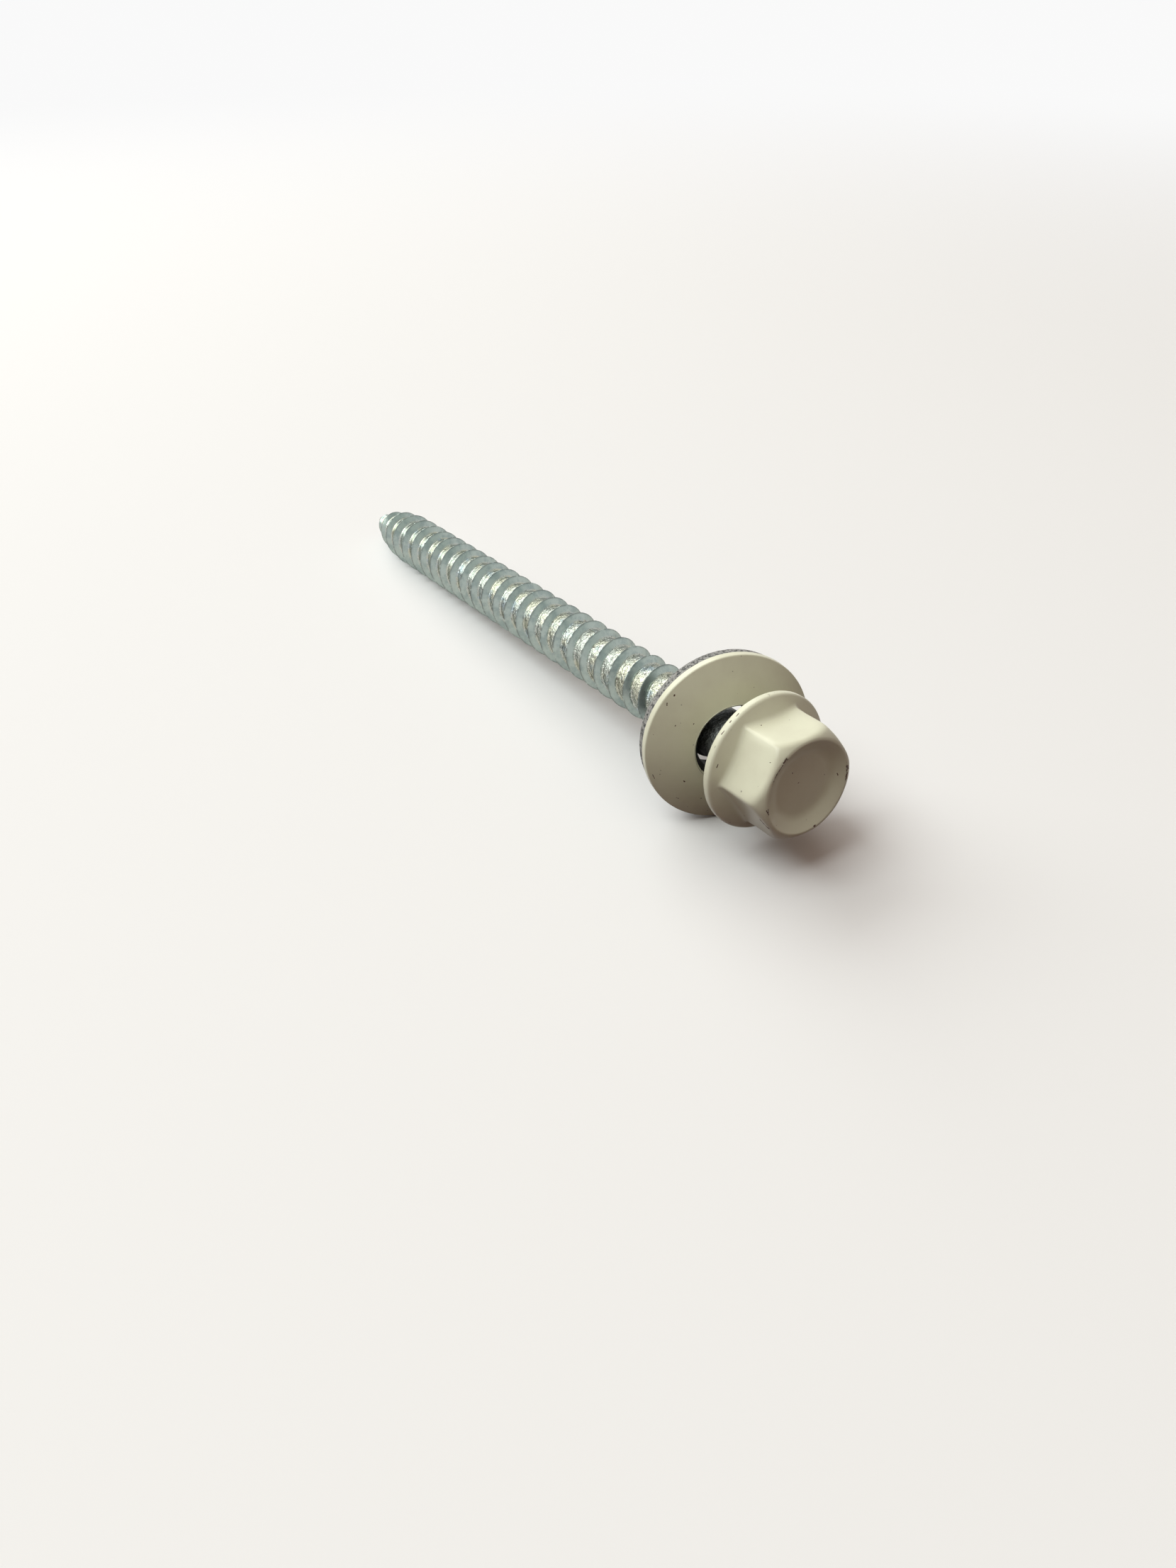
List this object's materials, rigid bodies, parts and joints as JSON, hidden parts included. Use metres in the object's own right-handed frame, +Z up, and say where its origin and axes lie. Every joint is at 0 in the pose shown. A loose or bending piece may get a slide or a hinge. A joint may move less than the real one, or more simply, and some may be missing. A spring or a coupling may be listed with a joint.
{
  "type": "hex washer head lag screw with bonded sealing washer",
  "caption": "Painted hex head lag screw with a flange, a coarse thread, a tapered point and a loose domed sealing washer, lying on its side.",
  "frame": {"origin": "middle of the underside of the lying screw's bounding box, on the surface that it lies on", "axes": "+X level, from the point towards the head; +Z up; the screw's own axis rises towards the head by 4.7 degrees"},
  "size_m": [0.084, 0.0158, 0.0161],
  "materials": {
    "zinc_steel": "bright zinc plating, smooth on the flanks and mottled in the roots",
    "cream_paint": "satin cream paint with small chips and specks",
    "black_rubber": "matt black rubber, speckled at its edge"
  },
  "bodies": {
    "screw": {"screw": "zinc_steel"},
    "washer": {"washer_plate": "cream_paint", "sealing_ring": "black_rubber"}
  },
  "joints": [
    {"name": "washer_slide", "type": "slide", "parent": "screw", "child": "washer", "axis": [0.9967, 0, 0.0817], "range_m": [-0.06, 0.0022]}
  ]
}
